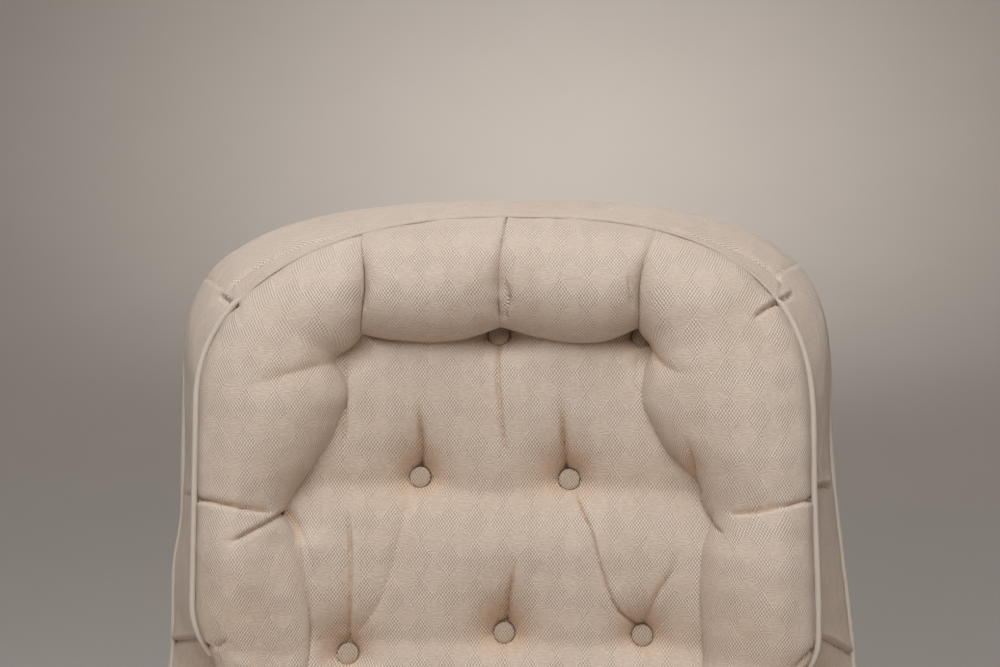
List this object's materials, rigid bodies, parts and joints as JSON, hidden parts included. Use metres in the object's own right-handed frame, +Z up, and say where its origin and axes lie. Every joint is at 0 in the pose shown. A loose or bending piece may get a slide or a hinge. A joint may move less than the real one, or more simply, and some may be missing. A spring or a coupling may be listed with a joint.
{
  "type": "button-tufted lounge chair",
  "caption": "High-backed upholstered lounge chair with a rolled, button-tufted back, low padded arms and a swivel and tilt base with four wooden legs.",
  "frame": {"origin": "on the floor, on the swivel axis, under the middle of the chair's box", "axes": "+Z up, -Y the way the chair faces, +X to the right of a viewer in front of it"},
  "size_m": [0.8164, 0.8332, 1.0587],
  "materials": {
    "fabric": "cream cotton damask with a small diamond weave",
    "welt": "the same cream fabric, cut for welts and buttons",
    "wood": "walnut stain, satin lacquer",
    "frame_wood": "raw sawn hardwood",
    "steel": "bright turned steel and zinc plate",
    "black_steel": "black enamel",
    "nylon": "off-white nylon",
    "rubber": "black moulded rubber",
    "cambric": "black dust cloth",
    "webbing": "jute webbing"
  },
  "bodies": {
    "base": {"base_hub": "black_steel", "base_leg_1": "wood", "base_leg_2": "wood", "base_leg_3": "wood", "base_leg_4": "wood", "floor_glide_1": "nylon", "floor_glide_2": "nylon", "floor_glide_3": "nylon", "floor_glide_4": "nylon", "column_bushing": "nylon"},
    "swivel": {"spindle": "steel", "retaining_clip": "steel", "tilt_yoke": "black_steel", "pivot_pin": "steel", "front_bumper": "rubber", "rear_bumper": "rubber", "tension_spring": "steel"},
    "seat": {"seat_plate": "black_steel", "tension_bolt": "steel", "mount_rail_left": "frame_wood", "mount_rail_right": "frame_wood", "front_rail": "frame_wood", "rear_rail": "frame_wood", "side_rail_left": "frame_wood", "side_rail_right": "frame_wood", "spring_mat": "steel", "seat_deck": "fabric", "seat_cushion": "fabric", "front_border": "fabric", "dust_cover": "cambric", "arm_frame_left": "frame_wood", "arm_frame_right": "frame_wood", "arm_pad_left": "fabric", "arm_pad_right": "fabric", "outside_arm_left": "fabric", "outside_arm_right": "fabric", "arm_front_left": "fabric", "arm_front_right": "fabric", "back_post_left": "frame_wood", "back_post_right": "frame_wood", "back_top_rail": "frame_wood", "back_low_rail": "frame_wood", "back_webbing": "webbing", "back_pad": "fabric", "top_roll": "fabric", "wing_roll_left": "fabric", "wing_roll_right": "fabric", "back_border": "fabric", "outside_back": "fabric", "face_welt": "welt", "back_welt": "welt", "tufting_button_1": "welt", "tufting_button_2": "welt", "tufting_button_3": "welt", "tufting_button_4": "welt", "tufting_button_5": "welt", "tufting_button_6": "welt", "tufting_button_7": "welt", "tufting_button_8": "welt"},
    "knob": {"tension_knob": "rubber"}
  },
  "joints": [
    {"name": "swivel_turn", "type": "hinge", "parent": "base", "child": "swivel", "pos_m": [0, 0, 0.1412], "axis": [0, 0, 1], "continuous": true},
    {"name": "seat_tilt", "type": "hinge", "parent": "swivel", "child": "seat", "pos_m": [0, 0, 0.186], "axis": [-1, 0, 0], "range_deg": [0, 14], "stiffness_Nm_per_rad": 380, "springref_deg": -5.73, "deforming": ["tension_spring"]},
    {"name": "knob_turn", "type": "hinge", "parent": "seat", "child": "knob", "pos_m": [0, -0.08, 0.0975], "axis": [0, 0, 1], "range_deg": [-720, 720]}
  ]
}
